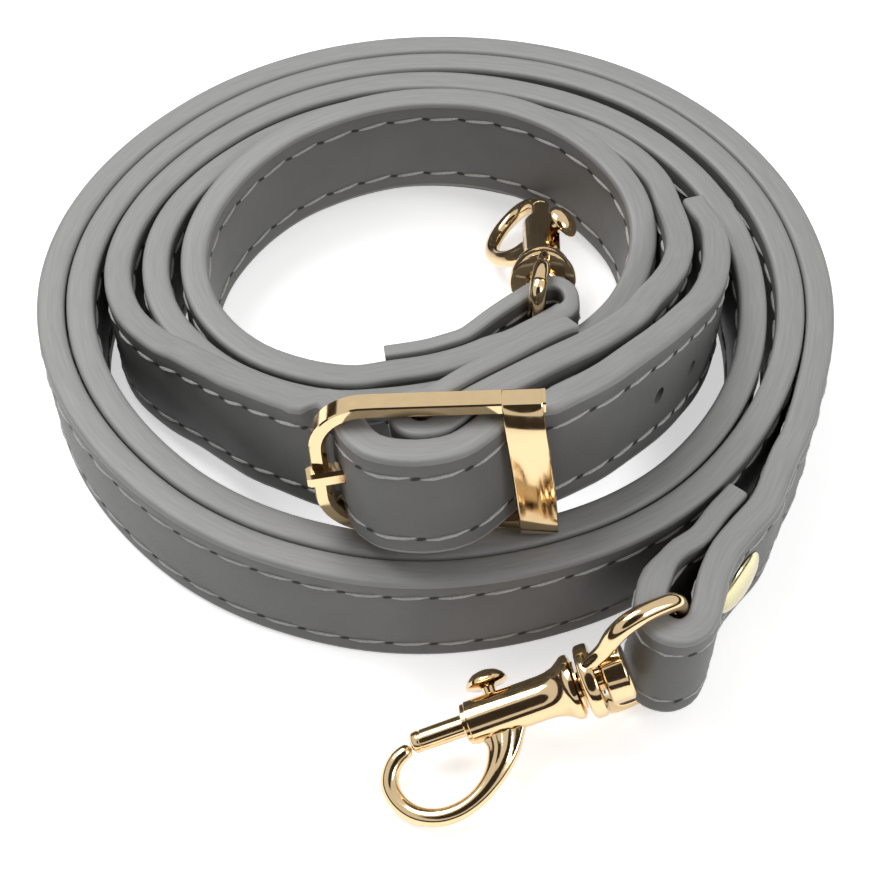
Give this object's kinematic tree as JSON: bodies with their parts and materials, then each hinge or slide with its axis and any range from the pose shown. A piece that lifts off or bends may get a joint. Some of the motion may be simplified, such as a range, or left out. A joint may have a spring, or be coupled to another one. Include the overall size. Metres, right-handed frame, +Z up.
{
  "type": "detachable bag strap",
  "caption": "Narrow leather bag strap in two lengths joined by a small buckle, with a swivel snap hook at each end, coiled on edge as it lies on a table.",
  "frame": {"origin": "under the middle of the coil's bounding box, on the table", "axes": "+Z up from the table; +X to the right and +Y away from the viewer of the picture; -Y towards the front snap hook"},
  "size_m": [0.0772, 0.0893, 0.0289],
  "materials": {
    "grey_leather": "smooth grained leather with lighter painted edges",
    "pale_brass": "polished pale gold plate",
    "spring_steel": "dull coppery wire",
    "rivet_brass": "satin pale gold"
  },
  "bodies": {
    "straps": {"long_strap": "grey_leather", "buckle_strap": "grey_leather", "buckle_frame": "pale_brass", "front_rivet": "rivet_brass", "front_rivet_back": "rivet_brass"},
    "prong": {"prong": "pale_brass"},
    "front_eye": {"front_eye": "pale_brass"},
    "front_hook": {"front_hook": "pale_brass", "front_swivel_post": "pale_brass", "front_spring": "spring_steel"},
    "front_trigger": {"front_bolt": "pale_brass", "front_thumb_knob": "pale_brass"},
    "rear_eye": {"rear_eye": "pale_brass"},
    "rear_hook": {"rear_hook": "pale_brass", "rear_swivel_post": "pale_brass", "rear_spring": "spring_steel"},
    "rear_trigger": {"rear_bolt": "pale_brass", "rear_thumb_knob": "pale_brass"}
  },
  "joints": [
    {"name": "front_eye_hinge", "type": "hinge", "parent": "straps", "child": "front_eye", "pos_m": [0.0204, -0.0297, 0.0079], "axis": [0, 0, 1], "range_deg": [-4, 18]},
    {"name": "front_swivel", "type": "hinge", "parent": "front_eye", "child": "front_hook", "pos_m": [0.01315, -0.03345, 0.0075], "axis": [-0.9329, -0.215, -0.289], "continuous": true},
    {"name": "front_trigger_slide", "type": "slide", "parent": "front_hook", "child": "front_trigger", "axis": [0.9329, 0.215, 0.289], "range_m": [0, 0.003], "stiffness_N_per_m": 200, "springref_m": -0.002, "deforming": ["front_spring"]},
    {"name": "rear_eye_hinge", "type": "hinge", "parent": "straps", "child": "rear_eye", "pos_m": [0.0097, 0.00405, 0.0079], "axis": [0, 0, 1], "range_deg": [0, 18]},
    {"name": "rear_swivel", "type": "hinge", "parent": "rear_eye", "child": "rear_hook", "pos_m": [0.0106, 0.00945, 0.011], "axis": [0.035, 0.9478, -0.3169], "range_deg": [-45, 60]},
    {"name": "rear_trigger_slide", "type": "slide", "parent": "rear_hook", "child": "rear_trigger", "axis": [-0.035, -0.9478, 0.3169], "range_m": [0, 0.003], "stiffness_N_per_m": 200, "springref_m": -0.002, "deforming": ["rear_spring"]},
    {"name": "prong_pivot", "type": "hinge", "parent": "straps", "child": "prong", "pos_m": [-0.00087, -0.01945, 0.0204], "axis": [-0.0523, 0.0872, 0.9948], "range_deg": [-1, 1]}
  ]
}
